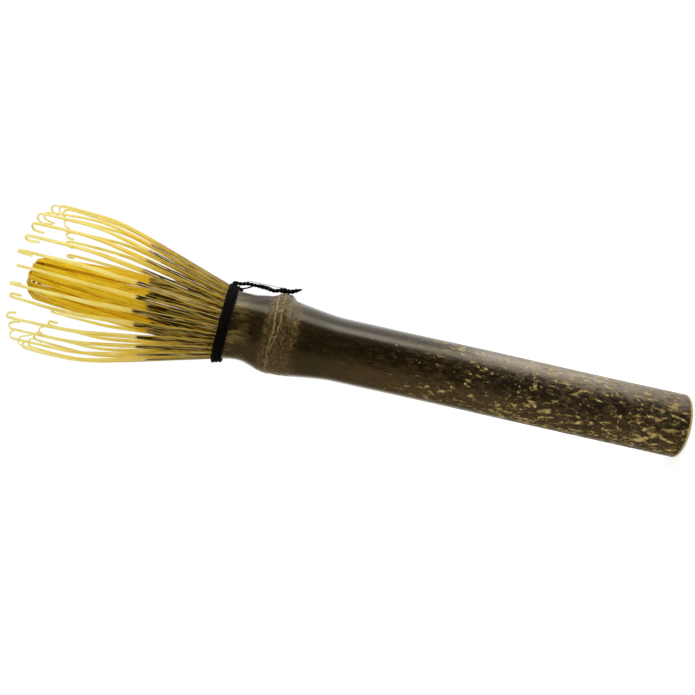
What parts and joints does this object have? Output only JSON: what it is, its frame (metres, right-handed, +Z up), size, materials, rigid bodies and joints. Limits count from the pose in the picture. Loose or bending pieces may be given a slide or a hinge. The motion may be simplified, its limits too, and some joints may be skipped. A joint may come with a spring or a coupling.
{
  "type": "tea whisk",
  "caption": "Tea whisk of dark bamboo with a long handle: its split end flares into a cage of hooked tines round a tight inner bundle, bound at the roots with thread.",
  "frame": {"origin": "middle of the bounding box's base, on the surface that the sawn butt stands on", "axes": "+Z up the culm from the butt to the tips of the tines; +X towards the tied end of the thread; +Y completes a right-handed frame"},
  "size_m": [0.0464, 0.0464, 0.209],
  "materials": {
    "black_bamboo": "glossy natural bamboo skin, near black, with tan mottling",
    "shaved_bamboo": "shaved bare bamboo, golden, with dark skin left near the roots",
    "black_thread": "matte twisted thread"
  },
  "bodies": {
    "root": {"bamboo_handle": "black_bamboo", "outer_tine_01": "shaved_bamboo", "outer_tine_02": "shaved_bamboo", "outer_tine_03": "shaved_bamboo", "outer_tine_04": "shaved_bamboo", "outer_tine_05": "shaved_bamboo", "outer_tine_06": "shaved_bamboo", "outer_tine_07": "shaved_bamboo", "outer_tine_08": "shaved_bamboo", "outer_tine_09": "shaved_bamboo", "outer_tine_10": "shaved_bamboo", "outer_tine_11": "shaved_bamboo", "outer_tine_12": "shaved_bamboo", "outer_tine_13": "shaved_bamboo", "outer_tine_14": "shaved_bamboo", "outer_tine_15": "shaved_bamboo", "outer_tine_16": "shaved_bamboo", "outer_tine_17": "shaved_bamboo", "outer_tine_18": "shaved_bamboo", "outer_tine_19": "shaved_bamboo", "outer_tine_20": "shaved_bamboo", "outer_tine_21": "shaved_bamboo", "outer_tine_22": "shaved_bamboo", "outer_tine_23": "shaved_bamboo", "outer_tine_24": "shaved_bamboo", "outer_tine_25": "shaved_bamboo", "outer_tine_26": "shaved_bamboo", "outer_tine_27": "shaved_bamboo", "outer_tine_28": "shaved_bamboo", "inner_tine_01": "shaved_bamboo", "inner_tine_02": "shaved_bamboo", "inner_tine_03": "shaved_bamboo", "inner_tine_04": "shaved_bamboo", "inner_tine_05": "shaved_bamboo", "inner_tine_06": "shaved_bamboo", "inner_tine_07": "shaved_bamboo", "inner_tine_08": "shaved_bamboo", "inner_tine_09": "shaved_bamboo", "inner_tine_10": "shaved_bamboo", "inner_tine_11": "shaved_bamboo", "inner_tine_12": "shaved_bamboo", "inner_tine_13": "shaved_bamboo", "inner_tine_14": "shaved_bamboo", "inner_tine_15": "shaved_bamboo", "inner_tine_16": "shaved_bamboo", "inner_tine_17": "shaved_bamboo", "inner_tine_18": "shaved_bamboo", "inner_tine_19": "shaved_bamboo", "inner_tine_20": "shaved_bamboo", "inner_tine_21": "shaved_bamboo", "inner_tine_22": "shaved_bamboo", "inner_tine_23": "shaved_bamboo", "inner_tine_24": "shaved_bamboo", "inner_tine_25": "shaved_bamboo", "inner_tine_26": "shaved_bamboo", "inner_tine_27": "shaved_bamboo", "inner_tine_28": "shaved_bamboo", "binding_thread": "black_thread", "separating_thread": "black_thread", "thread_tail": "black_thread"}
  },
  "joints": []
}
